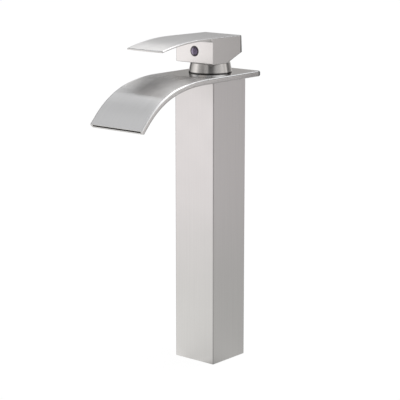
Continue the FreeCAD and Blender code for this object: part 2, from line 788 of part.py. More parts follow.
def make_cartridge_base():
    """Plastic floor of the cartridge: two inlets up, one outlet out through its side."""
    body = new_body("cartridge_base")
    pad(body, circle(sketch_on(body, "XY_Plane", BASE_FOOT), "cartridge_radius"),
        "base_height")
    pegs = sketch_on(body, "XY_Plane", BASE_FOOT)
    for side in ("", "-"):
        circle(pegs, "peg_radius", y=f"{side}{PEG_OFFSET}")
    pad(body, pegs, "peg_length", down=True)
    inlets = sketch_on(body, "XY_Plane", BASE_TOP)
    for side in ("", "-"):
        circle(inlets, "port_radius", x=f"{side}port_side", y="-port_front")
    pocket(body, inlets, "base_height")
    outlet = circle(sketch_on(body, "XY_Plane", BASE_TOP), "outlet_radius", y="outlet_back")
    pocket(body, outlet, f"{BASE_TOP} - {VALVE_FLOOR} - seat_depth")
    window = rectangle(sketch_on(body, "XZ_Plane"), "-outlet_radius",
                       f"{VALVE_FLOOR} + seat_depth + sill_height", "outlet_radius",
                       f"{BASE_TOP} - seal_depth - lintel_height")
    pocket(body, window, "cartridge_radius + cut_past")
    # Seats for the rubber seals above and below
    upper = sketch_on(body, "XY_Plane", BASE_TOP)
    for x, y, radius in port_places():
        circle(upper, f"{radius} + seal_width", x=x, y=y)
    pocket(body, upper, "seal_depth")
    lower = sketch_on(body, "XY_Plane", BASE_FOOT)
    for x, y, radius in port_places()[:2]:
        circle(lower, f"{radius} + seal_width", x=x, y=y)
    pocket(body, lower, "seal_depth", up=True)
    return body


def port_places():
    """(x, y, radius) of the cold inlet, the hot inlet and the mixed outlet."""
    return [
        ("port_side", "-port_front", "port_radius"),
        ("-port_side", "-port_front", "port_radius"),
        ("0", "outlet_back", "outlet_radius"),
    ]


def make_port_seals(label, foot, height, places):
    """Short rubber sleeves round the ports, one solid each."""
    body = new_body(label)
    sketch = sketch_on(body, "XY_Plane", foot)
    for x, y, radius in places:
        circle(sketch, f"{radius} + seal_width - push_fit", x=x, y=y)
        circle(sketch, radius, x=x, y=y)
    pad(body, sketch, height)
    return body


def make_fixed_disc():
    """Ceramic disc that stays still, with both inlets and the outlet."""
    body = new_body("fixed_disc")
    pad(body, circle(sketch_on(body, "XY_Plane", FIXED_DISC_FOOT), COLLAR_FLANGE),
        "disc_thickness")
    ports = sketch_on(body, "XY_Plane", FIXED_DISC_FOOT)
    for x, y, radius in port_places():
        circle(ports, radius, x=x, y=y)
    pocket(body, ports, "disc_thickness", up=True)
    return body


def key_slots(body, height, clearance, adding):
    """Two keys that lock the carrier to the moving disc, or the slots for them."""
    sketch = sketch_on(body, "XY_Plane", height)
    rim = f"({MOVING_DISC_EDGE} - key_margin)"
    root = f"({rim} - key_length)"
    for side, inner, outer in ((1, root, rim), (-1, rim, root)):
        rectangle(sketch, f"{side} * {inner} - {clearance}",
                  f"-key_width / 2 - {clearance}",
                  f"{side} * {outer} + {clearance}", f"key_width / 2 + {clearance}")
    if adding:
        return pad(body, sketch, "key_depth", down=True)
    return pocket(body, sketch, "key_depth + push_fit")


def make_moving_disc():
    """Ceramic disc that slides and turns, with the mixing chamber in its underside."""
    body = new_body("moving_disc")
    pad(body, circle(sketch_on(body, "XY_Plane", MOVING_DISC_FOOT), MOVING_DISC_EDGE),
        "disc_thickness")
    half = "(sqrt(chamber_radius * chamber_radius - chamber_front * chamber_front))"
    chamber = outline(sketch_on(body, "XY_Plane", MOVING_DISC_FOOT),
                      [(f"-{half}", "chamber_front"), (half, "chamber_front")],
                      {1: ("chamber_radius", 1)})
    pocket(body, chamber, "chamber_depth", up=True)
    key_slots(body, CARRIER_FOOT, "push_fit", adding=False)
    return place(body, y=BALL_SWING)


def make_disc_carrier():
    """Plastic slider on the moving disc, with the socket for the stem's ball."""
    body = new_body("disc_carrier")
    pad(body, circle(sketch_on(body, "XY_Plane", CARRIER_FOOT), MOVING_DISC_EDGE),
        "carrier_height")
    key_slots(body, CARRIER_FOOT, "0", adding=True)
    ridge = rectangle(sketch_on(body, "XY_Plane", CARRIER_TOP), "-ridge_width / 2",
                      "-ridge_length / 2", "ridge_width / 2", "ridge_length / 2")
    pad(body, ridge, "ridge_height")
    socket = circle(sketch_on(body, "XY_Plane", f"{CARRIER_TOP} + ridge_height"),
                    "ball_radius + ball_gap")
    pocket(body, socket, "carrier_height + ridge_height - socket_floor")
    return place(body, y=BALL_SWING)


def make_rotating_collar():
    """Collar that turns in the housing, carries the stem's pin and guides the slider."""
    body = new_body("rotating_collar")
    flange_top = f"({WEB_BOTTOM} - free_gap)"
    pad(body, circle(sketch_on(body, "XY_Plane", COLLAR_FOOT), COLLAR_FLANGE),
        f"{flange_top} - {COLLAR_FOOT}")
    pad(body, circle(sketch_on(body, "XY_Plane", flange_top), "collar_barrel"),
        f"{COLLAR_TOP} - {flange_top}")
    # Slot in which the stem rocks
    reach = f"(({COLLAR_TOP} - {PIVOT}) * tan(stem_tilt) + stem_width / 2 + 2 * free_gap)"
    slot = rectangle(sketch_on(body, "XY_Plane", COLLAR_TOP), "-stem_width / 2 - slide_gap",
                     f"-{reach}", "stem_width / 2 + slide_gap", reach)
    pocket(body, slot, f"{COLLAR_TOP} - {COLLAR_FOOT}")
    # Guide for the slider's ridge
    travel = f"(ridge_length / 2 + {BALL_SWING} + free_gap)"
    guide = rectangle(sketch_on(body, "XY_Plane", COLLAR_FOOT), "-ridge_width / 2 - slide_gap",
                      f"-{travel}", "ridge_width / 2 + slide_gap", travel)
    pocket(body, guide, "ridge_height", up=True)
    # Hole for the pivot pin, and the notch that meets the housing's stop
    pin_hole = circle(sketch_on(body, "YZ_Plane"), "pin_radius", y=PIVOT)
    pocket(body, pin_hole, "2 * cartridge_radius", both_ways=True)
    notch = sketch_on(body, "XY_Plane", flange_top)
    ring_sector(notch, f"({STOP_INNER} - free_gap)", f"({COLLAR_FLANGE} + cut_past)",
                "(swivel_limit + stop_half + stop_play)")
    pocket(body, notch, f"{flange_top} - {COLLAR_FOOT}")
    return body


def make_stem_pivot_pin():
    """Steel pin through the collar and the stem."""
    body = new_body("stem_pivot_pin")
    sketch = circle(sketch_on(body, "YZ_Plane"), "pin_radius")
    half = "(sqrt(collar_barrel * collar_barrel - pin_radius * pin_radius) - slide_gap)"
    pad(body, sketch, f"2 * {half}", both_ways=True)
    return place(body, z=PIVOT)


# ---------------------------------------------------------------- lever

def make_stem():
    """Square stem with a ball at its lower end, drawn upright about its pivot."""
    body = new_body("stem")
    pad(body, square(sketch_on(body, "XY_Plane", "-stem_below"), "stem_width"),
        f"{STEM_ABOVE} + stem_below")
    soften(body, "Chamfer", "stem_bevel",
           lambda edge: lies_at(edge, z=STEM_ABOVE)
           and edge.Vertexes[0].Point.z > 0)
    cone_foot = "(stem_width / 2 - stem_neck)"
    ball_top = "sqrt(ball_radius * ball_radius - stem_neck * stem_neck)"
    corners = [
        ("0", "-stem_below"),
        ("0", "-ball_arm - ball_radius"),
        ("stem_neck", f"-ball_arm + {ball_top}"),
        ("stem_neck", f"-stem_below - {cone_foot}"),
        ("stem_width / 2", "-stem_below"),
    ]
    revolve(body, outline(sketch_on(body, "XZ_Plane"), corners, {1: ("ball_radius", 1)}))
    hole = circle(sketch_on(body, "YZ_Plane"), "pin_radius + running_fit")
    pocket(body, hole, "2 * stem_width", both_ways=True)
    return place(body, z=PIVOT, angle="stem_tilt")


def lever_bend_point(depth, angle):
    """(y, z) at an angle along the lever's bend, depth below its top surface."""
    centre_y = "(-lever_straight - lever_bend * sin(lever_slope))"
    centre_z = f"({LEVER_CREST} - lever_bend * cos(lever_slope))"
    return (f"({centre_y} - (lever_bend - {depth}) * sin({angle}))",
            f"({centre_z} + (lever_bend - {depth}) * cos({angle}))")


def lever_profile(sketch):
    """Side outline of the lever and its hub."""
    root_y, root_z = lever_bend_point("blade_root", "-lever_slope")
    throat_y = "(-hub_front - throat_radius)"
    throat_z = f"({root_z} - ({throat_y} - {root_y}) * tan(lever_slope))"
    corners = [
        ("hub_rear_top", LEVER_BACK),
        ("-lever_straight", LEVER_CREST),
        lever_bend_point("0", LEVER_DROOP),
        lever_bend_point("blade_tip", LEVER_DROOP),
        (root_y, root_z),
        (throat_y, throat_z),
        ("-hub_front", f"{throat_z} - throat_radius"),
        ("-hub_front", HUB_BOTTOM),
        ("-heel_start", HUB_BOTTOM),
        ("hub_rear_low", f"{HUB_BOTTOM} + heel_height"),
    ]
    arcs = {
        1: ("lever_bend", 1),
        3: ("lever_bend - (blade_root + blade_tip) / 2", -1),
        5: ("throat_radius", -1),
    }
    return outline(sketch, corners, arcs)


def stem_frame(sketch, distance):
    """Lay a sketch square to the stem, at a distance from its pivot."""
    sketch.setExpression(".AttachmentOffset.Base.y", cells(f"-{distance} * sin(stem_tilt)"))
    sketch.setExpression(".AttachmentOffset.Base.z",
                         cells(f"{PIVOT} + {distance} * cos(stem_tilt)"))
    tilt_sketch(sketch)
    return sketch


def tilt_sketch(sketch):
    """Turn a sketch's plane about its own X axis by the stem's tilt."""
    offset = sketch.AttachmentOffset
    offset.Rotation = FreeCAD.Rotation(X_AXIS, value("stem_tilt"))
    sketch.AttachmentOffset = offset
    sketch.setExpression(".AttachmentOffset.Rotation.Angle", cells("stem_tilt"))


def make_handle_lever():
    """Lever blade and hub in one casting, hollow below, with a boss for the stem."""
    body = new_body("handle_lever")
    # Plan: the blade narrows to its tip, and the tip's edge bows forward
    half_tip = "(blade_width / 2)"
    tip_side = "(-lever_reach + tip_bow)"
    corners = [
        (f"-{half_tip}", tip_side),
        (half_tip, tip_side),
        ("hub_width / 2", "-hub_front"),
        ("hub_width / 2", "hub_rear_low + cut_past"),
        ("-hub_width / 2", "hub_rear_low + cut_past"),
        ("-hub_width / 2", "-hub_front"),
    ]
    bow = f"(({half_tip} * {half_tip} + tip_bow * tip_bow) / (2 * tip_bow))"
    foot = f"({HUB_BOTTOM} - cut_past)"
    plan = outline(sketch_on(body, "XY_Plane", foot), corners, {0: (bow, 1)})
    pad(body, plan, f"{LEVER_CREST} - {foot} + cut_past")
    soften(body, "Fillet", "tip_corner", lambda edge: lies_at(edge, x=half_tip, y=tip_side))
    # Everything outside the side profile is cut away
    side = rectangle(sketch_on(body, "YZ_Plane"), "-2 * lever_reach", f"{foot} - cut_past",
                     "2 * lever_reach", f"{LEVER_CREST} + 2 * cut_past")
    pocket(body, lever_profile(side), "2 * hub_width", both_ways=True)
    soften(body, "Fillet", "lever_edge",
           lambda edge: edge.Length > value("hub_front")
           and edge.Vertexes[0].Point.x * edge.Vertexes[1].Point.x > 0
           and min(vertex.Point.z for vertex in edge.Vertexes) > value(LEVER_BACK) - TOUCHING)
    # Rear corners of the hub, upright
    soften(body, "Fillet", "hub_corner",
           lambda edge: min(abs(vertex.Point.x) for vertex in edge.Vertexes)
           > value("hub_width / 2") - TOUCHING
           and min(vertex.Point.y for vertex in edge.Vertexes)
           > value("hub_rear_top") - TOUCHING)
    # Lower rim: the front edge and the two side edges
    soften(body, "Fillet", "hub_rim",
           lambda edge: lies_at(edge, z=HUB_BOTTOM)
           and min(vertex.Point.y for vertex in edge.Vertexes)
           < value("-hub_front") + TOUCHING)
    # Hollow underside, with a boss for the stem and a rib round the screw's hole
    cavity = rectangle(sketch_on(body, "XY_Plane", HUB_BOTTOM),
                       "-hub_width / 2 + hub_wall", "-hub_front + hub_wall",
                       "hub_width / 2 - hub_wall", "cavity_rear")
    pocket(body, cavity, f"{HUB_CEILING} - {HUB_BOTTOM}", up=True)
    boss = circle(stem_frame(sketch_on(body, "XY_Plane"), BOSS_START), "boss_radius")
    pad(body, boss, f"{BOSS_END} - {BOSS_START}")
    rib = rectangle(sketch_on(body, "XZ_Plane", "hub_front - hub_wall / 2"), "-rib_half",
                    f"{HUB_BOTTOM} + rib_inset", "rib_half", f"{HUB_CEILING} + hub_roof / 3")
    pad(body, rib, "hub_front - hub_wall / 2 - boss_radius / 2", down=True)
    socket = square(stem_frame(sketch_on(body, "XY_Plane"), BOSS_START),
                    "(stem_width + 2 * push_fit)")
    pocket(body, socket, f"{STEM_ABOVE} + slide_gap - {BOSS_START}", up=True)
    # Screw hole at right angles to the stem, closed by the plug's round seat
    hole = circle(sketch_on(body, "XZ_Plane", "hub_front"), "screw_radius + push_fit")
    hole.setExpression(".AttachmentOffset.Base.y", cells(PLUG_HEIGHT))
    tilt_sketch(hole)
    pocket(body, hole, f"{SCREW_REACH} + cut_past")
    seat = circle(sketch_on(body, "XZ_Plane", "hub_front"), "plug_radius + push_fit",
                  y=PLUG_HEIGHT)
    pocket(body, seat, "plug_depth")
    return body


def make_handle_grub_screw():
    """Cup-point grub screw that clamps the stem, drawn upright from its point."""
    body = new_body("handle_grub_screw")
    bevel = "(screw_radius / 4)"
    corners = [
        ("0", bevel),
        ("screw_radius / 2", "0"),
        ("screw_radius * 3 / 4", "0"),
        ("screw_radius", bevel),
        ("screw_radius", f"screw_length - {bevel}"),
        (f"screw_radius - {bevel}", "screw_length"),
        ("0", "screw_length"),
    ]
    revolve(body, outline(sketch_on(body, "XZ_Plane"), corners))
    key = sketch_on(body, "XY_Plane", "screw_length")
    across = "(screw_socket / cos(30))"
    outline(key, [(f"{across} * cos({60 * n})", f"{across} * sin({60 * n})") for n in range(6)])
    pocket(body, key, "screw_key_depth")
    return place(body, y=f"-hub_front + {SCREW_REACH} * cos(stem_tilt)",
                 z=f"{PLUG_HEIGHT} + {SCREW_REACH} * sin(stem_tilt)", angle="90 + stem_tilt")


def make_index_plug():
    """Domed plastic plug over the screw's hole, drawn upright."""
    body = new_body("index_plug")
    dome = "((plug_radius * plug_radius + plug_dome * plug_dome) / (2 * plug_dome))"
    corners = [
        ("0", "plug_dome"),
        ("0", "-plug_depth - spigot_length"),
        ("plug_spigot", "-plug_depth - spigot_length"),
        ("plug_spigot", "-plug_depth"),
        ("plug_radius", "-plug_depth"),
        ("plug_radius", "0"),
    ]
    revolve(body, outline(sketch_on(body, "XZ_Plane"), corners, {5: (dome, 1)}))
    return place(body, y="-hub_front", z=PLUG_HEIGHT, angle="90")


# ---------------------------------------------------------------- the whole tap

pieces = [
    make_column(),
    make_base_gasket(),
    make_base_block(),
    make_inlet_tube("hot_inlet_tube", "-"),
    make_inlet_tube("cold_inlet_tube", ""),
    make_tube_rings(),
    make_valve_body(),
    ring("spout_seal", SPOUT_RING_CENTRE, "spout_ring", z="column_height - spout_ring"),
    make_spout_lower_shell(),
    make_spout_upper_shell(),
    make_bonnet(),
    ring("bonnet_seal", BONNET_RING_CENTRE, "bonnet_ring", z=f"{SPOUT_TOP} + bonnet_ring"),
    make_cartridge_nut(),
    make_cartridge_housing(),
    ring("housing_seal", f"{HOUSING_FLANGE} - housing_ring", "housing_ring",
         z=f"{FLANGE_BOTTOM} + flange_height / 2"),
    make_cartridge_base(),
    make_port_seals("lower_port_seals", VALVE_FLOOR, "base_lift + seal_depth",
                    port_places()[:2]),
    make_port_seals("upper_port_seals", f"({BASE_TOP} - seal_depth)", "seal_depth + seal_proud",
                    port_places()),
    make_fixed_disc(),
    make_moving_disc(),
    make_disc_carrier(),
    make_rotating_collar(),
    make_stem_pivot_pin(),
    make_stem(),
    make_handle_lever(),
    make_handle_grub_screw(),
    make_index_plug(),
]
doc.recompute()

for item in doc.Objects:
    if "Invalid" in item.State or "Error" in item.State:
        raise ValueError(f"{item.Label} failed: {item.State}")
for piece in pieces:
    if piece.Shape.isNull() or not piece.Shape.isValid():
        raise ValueError(f"{piece.Label} has no valid shape")

os.makedirs("parts", exist_ok=True)
for piece in pieces:
    piece.Shape.exportStep(f"parts/{piece.Label}.step")
    box = piece.Shape.BoundBox
    print(f"{piece.Label:20s} solids {len(piece.Shape.Solids)} volume {piece.Shape.Volume:10.1f}"
          f"  x {box.XMin:7.2f} {box.XMax:7.2f}  y {box.YMin:8.2f} {box.YMax:7.2f}"
          f"  z {box.ZMin:7.2f} {box.ZMax:7.2f}")
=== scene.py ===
import json
import math

import bpy
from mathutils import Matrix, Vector


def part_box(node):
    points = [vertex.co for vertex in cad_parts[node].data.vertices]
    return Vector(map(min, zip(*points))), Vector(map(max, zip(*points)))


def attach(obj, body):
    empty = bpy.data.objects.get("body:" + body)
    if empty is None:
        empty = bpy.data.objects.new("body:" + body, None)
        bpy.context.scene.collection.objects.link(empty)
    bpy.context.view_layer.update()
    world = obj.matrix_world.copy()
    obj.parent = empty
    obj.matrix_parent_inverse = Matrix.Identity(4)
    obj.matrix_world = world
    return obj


# Looks for the waterfall basin faucet: a finish for every CAD node, the cut threads in the
# foot, and a plain pale studio.  Lengths are in metres.  A pair whose name ends in RANGE or
# LOOK holds where a change starts and where it is complete.

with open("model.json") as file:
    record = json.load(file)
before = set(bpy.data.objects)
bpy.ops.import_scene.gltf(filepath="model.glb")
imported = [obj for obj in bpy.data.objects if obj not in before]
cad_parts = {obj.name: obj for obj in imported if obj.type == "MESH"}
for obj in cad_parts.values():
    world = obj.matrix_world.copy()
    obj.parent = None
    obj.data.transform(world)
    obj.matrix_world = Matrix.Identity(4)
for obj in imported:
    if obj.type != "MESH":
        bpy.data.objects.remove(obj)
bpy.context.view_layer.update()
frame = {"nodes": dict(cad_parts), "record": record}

MM = 0.001

# A Mix node's sockets by number: the share of the second, then two colours or two vectors
SHARE, COLOUR_A, COLOUR_B, VECTOR_A, VECTOR_B = 0, 6, 7, 4, 5


def linear(colour):
    """An sRGB hex colour as linear red, green, blue and alpha."""
    parts = [int(colour[i:i + 2], 16) / 255 for i in (1, 3, 5)]
    return [c / 12.92 if c <= 0.04045 else ((c + 0.055) / 1.055) ** 2.4 for c in parts] + [1.0]


def grey(level):
    """A light level as a linear colour."""
    return [level] * 3 + [1.0]


def add(tree, kind, sockets=None, stops=(), **settings):
    """Add a node with its settings, its sockets' values or links, and a ramp's stops.

    A node that is given for a socket is linked from its first output that is in use.
    """
    node = tree.nodes.new(kind)
    for name, setting in settings.items():
        setattr(node, name, setting)
    for name, given in (sockets or {}).items():
        if isinstance(given, bpy.types.Node):
            given = next(output for output in given.outputs if output.enabled)
        if isinstance(given, bpy.types.NodeSocket):
            tree.links.new(given, node.inputs[name])
        else:
            node.inputs[name].default_value = given
    if stops:
        elements = node.color_ramp.elements
        elements.remove(elements[-1])
        elements[0].position, elements[0].color = stops[0][0], grey(stops[0][1])
        for position, level in stops[1:]:
            elements.new(position).color = grey(level)
    return node


# ---------------------------------------------------------------- camera

# The photograph's camera, fitted to the edges of the column
CAMERA_AT = Vector((892.12, -1074.20, 450.45)) * MM
CAMERA_AIM = Vector((-7.19, -6.05, 149.1)) * MM

camera = bpy.data.objects.new("camera", bpy.data.cameras.new("camera"))
bpy.context.scene.collection.objects.link(camera)
camera.location = CAMERA_AT
camera.rotation_euler = (CAMERA_AIM - CAMERA_AT).to_track_quat("-Z", "Y").to_euler()
camera.data.lens = 138.976
camera.data.sensor_width = 36.0
camera.data.clip_end = 50.0
bpy.context.scene.camera = camera
bpy.context.scene.view_settings.view_transform = "Standard"


# ---------------------------------------------------------------- studio

# Light levels round the studio as (share of a full turn, level), in rings from low to high.
# The turn starts behind the faucet, passes its left side at 0.25, its front at 0.5 and its
# right side at 0.75.
SKY_LOW = [(0.0, 0.3), (0.06, 0.84), (0.12, 0.3), (0.17, 0.03), (0.215, 0.03), (0.26, 0.42),
           (0.32, 0.83), (0.38, 1.16), (0.43, 0.56), (0.46, 0.32), (0.5, 0.12), (0.535, 0.48),
           (0.56, 0.7), (0.59, 0.03), (0.65, 0.03), (0.69, 0.25), (0.75, 0.36), (0.81, 0.71),
           (0.85, 0.57), (0.88, 0.93), (0.91, 0.27), (0.94, 0.12), (0.97, 0.28)]
SKY_MIDDLE = [(0.0, 0.03), (0.08, 0.52), (0.16, 0.59), (0.24, 0.09), (0.32, 0.84), (0.4, 0.22),
              (0.48, 0.53), (0.56, 0.23), (0.64, 0.23), (0.72, 0.85), (0.8, 1.08), (0.9, 0.15)]
SKY_HIGH = [(0.0, 1.05), (0.12, 0.03), (0.24, 0.51), (0.36, 1.14), (0.5, 0.53), (0.64, 0.67),
            (0.78, 1.55), (0.9, 1.84)]
SKY_TOP_FRONT, SKY_TOP_REAR = 0.95, 2.4
FLOOR_NEAR = [(0.0, 0.4), (0.09, 0.99), (0.18, 1.2), (0.27, 0.85), (0.36, 1.04), (0.45, 0.83),
              (0.54, 0.86), (0.63, 0.45), (0.72, 0.56), (0.81, 0.6), (0.9, 0.56), (0.95, 0.4)]
FLOOR_FAR = [(0.0, 0.3), (0.09, 0.56), (0.18, 0.79), (0.27, 0.3), (0.36, 1.45), (0.45, 1.01),
             (0.54, 0.3), (0.63, 0.3), (0.72, 0.39), (0.81, 1.19), (0.9, 0.4), (0.95, 0.3)]
# The lower walls send back a warmer light than the upper ones, and the far floor a pinker one
WARM, COOL = (1.0, 0.975, 0.955, 1.0), (0.97, 0.99, 1.02, 1.0)
NEAR_TINT, FAR_TINT = (1.0, 1.0, 0.99, 1.0), (1.0, 0.968, 0.982, 1.0)
# A ramp stores levels up to 1, so they are kept as shares of this brightest level
BRIGHTEST = 4.0

# Heights, as the sine of the angle above the floor, where one ring gives way to the next
MIDDLE_RANGE, HIGH_RANGE, TOP_RANGE = (0.18, 0.34), (0.44, 0.62), (0.80, 0.94)
COOL_RANGE = (0.2, 0.5)
# The top turns from its front level to its rear one over this rearward part of a direction
TOP_REAR_RANGE = (-0.2, 0.5)
# Distances from the faucet where the floor's levels and its tint turn to the far ones
FAR_RANGE, FAR_TINT_RANGE = (0.25, 1.1), (0.1, 0.9)
FLOOR_RADIUS, FLOOR_DROP = 6.0, 0.2 * MM
# To the camera the floor is nearly all its own white light, and the rest takes the shadow
OWN_LIGHT, OWN_WHITE = 0.95, 1.02


def turn_share(tree, x, y):
    """The direction round the faucet, as a share of a full turn from behind it."""
    forward = add(tree, "ShaderNodeMath", {0: y, 1: -1.0}, operation="MULTIPLY")
    angle = add(tree, "ShaderNodeMath", {0: x, 1: forward}, operation="ARCTAN2")
    return add(tree, "ShaderNodeMapRange", {"Value": angle, "From Min": -math.pi,
                                            "From Max": math.pi})


def levels_round(tree, share, levels):
    """Light levels round the turn, closed between its end and its start."""
    stops = [(place, level / BRIGHTEST) for place, level in levels]
    return add(tree, "ShaderNodeValToRGB", {"Fac": share}, stops + [(1.0, stops[0][1])])


def blend(tree, position, change, before, after):
    """One colour before a change, another after it, and softly from one to the other."""
    step = add(tree, "ShaderNodeMapRange", {"Value": position, "From Min": change[0],
                                            "From Max": change[1]},
               interpolation_type="SMOOTHSTEP")
    return add(tree, "ShaderNodeMix", {SHARE: step, COLOUR_A: before, COLOUR_B: after},
               data_type="RGBA")


def light_the_room():
    """Soft grey room, brighter towards the lamps, that the camera itself sees as white."""
    world = bpy.data.worlds.new("pale_studio")
    world.use_nodes = True
    tree = world.node_tree
    tree.nodes.clear()
    direction = add(tree, "ShaderNodeTexCoord").outputs["Generated"]
    x, y, height = add(tree, "ShaderNodeSeparateXYZ", {0: direction}).outputs
    share = turn_share(tree, x, y)
    top = blend(tree, y, TOP_REAR_RANGE, grey(SKY_TOP_FRONT / BRIGHTEST),
                grey(SKY_TOP_REAR / BRIGHTEST))
    room = blend(tree, height, MIDDLE_RANGE, levels_round(tree, share, SKY_LOW),
                 levels_round(tree, share, SKY_MIDDLE))
    room = blend(tree, height, HIGH_RANGE, room, levels_round(tree, share, SKY_HIGH))
    room = blend(tree, height, TOP_RANGE, room, top)
    cast = blend(tree, height, COOL_RANGE, WARM, COOL)
    room = add(tree, "ShaderNodeVectorMath", {0: room, 1: cast}, operation="MULTIPLY")
    glow = add(tree, "ShaderNodeBackground", {"Color": room, "Strength": BRIGHTEST})
    white = add(tree, "ShaderNodeBackground", {"Color": grey(1.0), "Strength": 1.0})
    seen = add(tree, "ShaderNodeLightPath").outputs["Is Camera Ray"]
    whole = add(tree, "ShaderNodeMixShader", {0: seen, 1: glow, 2: white})
    add(tree, "ShaderNodeOutputWorld", {"Surface": whole})
    bpy.context.scene.world = world


def lay_the_floor():
    """Plain pale floor: white to the camera, with the faucet's shadow, and two rings of light
    levels to the metal."""
    bpy.ops.mesh.primitive_circle_add(vertices=64, radius=FLOOR_RADIUS, fill_type="NGON",
                                      location=(0, 0, -FLOOR_DROP))
    floor = bpy.context.object
    floor.name = "floor"
    material, tree, coordinates = new_material("matt_white_floor")
    x, y, _ = add(tree, "ShaderNodeSeparateXYZ", {0: coordinates["Object"]}).outputs
    share = turn_share(tree, x, y)
    reach = add(tree, "ShaderNodeVectorMath", {0: coordinates["Object"]}, operation="LENGTH")
    sheen = blend(tree, reach, FAR_RANGE, levels_round(tree, share, FLOOR_NEAR),
                  levels_round(tree, share, FLOOR_FAR))
    cast = blend(tree, reach, FAR_TINT_RANGE, NEAR_TINT, FAR_TINT)
    sheen = add(tree, "ShaderNodeVectorMath", {0: sheen, 1: cast}, operation="MULTIPLY")
    paint = add(tree, "ShaderNodeBsdfDiffuse", {"Color": linear("#f2f2f2")})
    mirrored = add(tree, "ShaderNodeEmission", {"Color": sheen, "Strength": BRIGHTEST})
    bright = add(tree, "ShaderNodeEmission", {"Color": grey(1.0), "Strength": OWN_WHITE})
    shadowed = add(tree, "ShaderNodeMixShader", {0: OWN_LIGHT, 1: paint, 2: bright})
    rays = add(tree, "ShaderNodeLightPath").outputs
    reflected = add(tree, "ShaderNodeMath", {0: rays["Is Glossy Ray"],
                                             1: rays["Is Transmission Ray"]},
                    operation="MAXIMUM")
    unseen = add(tree, "ShaderNodeMixShader", {0: reflected, 1: paint, 2: mirrored})
    whole = add(tree, "ShaderNodeMixShader", {0: rays["Is Camera Ray"], 1: unseen, 2: shadowed})
    add(tree, "ShaderNodeOutputMaterial", {"Surface": whole})
    floor.data.materials.append(material)


def hang_lamp(name, at, aim, width, depth, power):
    """A soft box lamp that points from one place to another."""
    lamp = bpy.data.objects.new(name, bpy.data.lights.new(name, "AREA"))
    bpy.context.scene.collection.objects.link(lamp)
    lamp.data.shape = "RECTANGLE"
    lamp.data.size, lamp.data.size_y, lamp.data.energy = width, depth, power
    lamp.location = at
    lamp.rotation_euler = (Vector(aim) - Vector(at)).to_track_quat("-Z", "Y").to_euler()


# ---------------------------------------------------------------- materials' shared parts

# Nearly all of a noise texture's values lie between these
NOISE_LOW, NOISE_HIGH = 0.3, 0.7


def new_material(name):
    """An empty material, its tree and its coordinates."""
    material = bpy.data.materials.new(name)
    material.use_nodes = True
    material.node_tree.nodes.clear()
    coordinates = add(material.node_tree, "ShaderNodeTexCoord").outputs
    return material, material.node_tree, coordinates


def surface(tree, sockets):
    """The shader of a finish, and the output that shows it."""
    shader = add(tree, "ShaderNodeBsdfPrincipled", sockets)
    add(tree, "ShaderNodeOutputMaterial", {"Surface": shader})


def unsigned(tree, vector):
    """A vector's three parts without their signs, so that both sides come out alike."""
    plain = add(tree, "ShaderNodeVectorMath", {0: vector}, operation="ABSOLUTE")
    return add(tree, "ShaderNodeSeparateXYZ", {0: plain}).outputs


def toned(tree, tint, tone, *masks):
    """A tint scaled by a tone where all of the masks are 1, and less where they fade."""
    where = masks[0]
    for mask in masks[1:]:
        where = add(tree, "ShaderNodeMath", {0: where, 1: mask}, operation="MULTIPLY")
    factor = add(tree, "ShaderNodeMapRange", {"Value": where, "To Min": 1.0, "To Max": tone})
    return add(tree, "ShaderNodeVectorMath", {0: tint, "Scale": factor}, operation="SCALE")


# ---------------------------------------------------------------- brushed nickel

# The belt's grit leaves scratches about 0.1 mm wide and 20 to 40 mm long.  They are drawn
# 0.9 mm wide and 90 mm long, because a finer line doesn't show at this size.
ACROSS = 1 / (0.9 * MM)
ALONG = 1 / (90 * MM)
SCRATCH_DEPTH, SCRATCH_STRENGTH = 0.01 * MM, 0.05
# The spout was brushed with a coarser belt, whose scratches are drawn 1.5 mm wide
COARSE_ACROSS = 0.6 * ACROSS
# How much smoother and rougher than the rest the scratches of each belt are
FINE_GRIT, COARSE_GRIT = 0.015, 0.04
# Directions of the scratches, tipped a little so that no face lies square to them
UPWARD, FORWARD = (0.02, 0.03, 1), (0.02, 1, 0.03)
# Cloths rub the satin unevenly, in patches about 36 mm across
PATCHES_PER_METRE, RUB = 28.0, 0.012
# Radii of the edges: crisp on the tube, the spout and the bonnet, softer on the cast lever
CRISP_EDGE, SOFT_EDGE = 0.35 * MM, 0.9 * MM

# Column: the painted shade on its upright corners, as distances from its middle planes
COLUMN_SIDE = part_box("column")[1][0]
COLUMN_SHADE_RANGE = (COLUMN_SIDE - 1.3 * MM, COLUMN_SIDE - 0.7 * MM)
COLUMN_CORNER_SHADE = 0.79

# Spout plate: where the painted shade on its rear corners starts, across and rearward
PLATE_SIDE, PLATE_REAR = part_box("spout_upper_shell")[1][:2]
PLATE_SHADED_CORNER = (PLATE_SIDE - 2.0 * MM, PLATE_REAR - 4.7 * MM)
# Tones of the painted shade on the rear corners and on the rims' beads, and of the darker rear
# sides
PLATE_CORNER_SHADE, PLATE_BEAD_SHADE, PLATE_SIDE_TONE = 0.5, 0.8, 0.83
# How far sideways a face looks, from 0 to 1, where the rim, its bead and the side come in
RIM_LOOK, BEAD_LOOK, SIDE_LOOK = (0.12, 0.3), (0.92, 0.75), (0.75, 0.95)
# Places along the plate where its flat, its slot end and its rear come in
FLAT_RANGE, SLOT_RANGE = (-65 * MM, -30 * MM), (-80 * MM, -118 * MM)
REAR_RANGE = (0.0, 25 * MM)
# Distances from the axis where the bonnet's seat comes in
SEAT_RANGE = (42 * MM, 30 * MM)
# The brushed plate, its buffed rims, the share of their buffing that the flat has, and how
# much smoother still the seat is
PLATE_ROUGH, RIM_ROUGH, FLAT_SHARE, SEAT_POLISH = 0.32, 0.18, 0.7, 0.07

# Bonnet: the dark joint line above its foot
BONNET_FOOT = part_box("bonnet")[0][2]
JOINT_RANGE = (BONNET_FOOT + 1.2 * MM, BONNET_FOOT + 0.7 * MM)
JOINT_TONE = 0.2
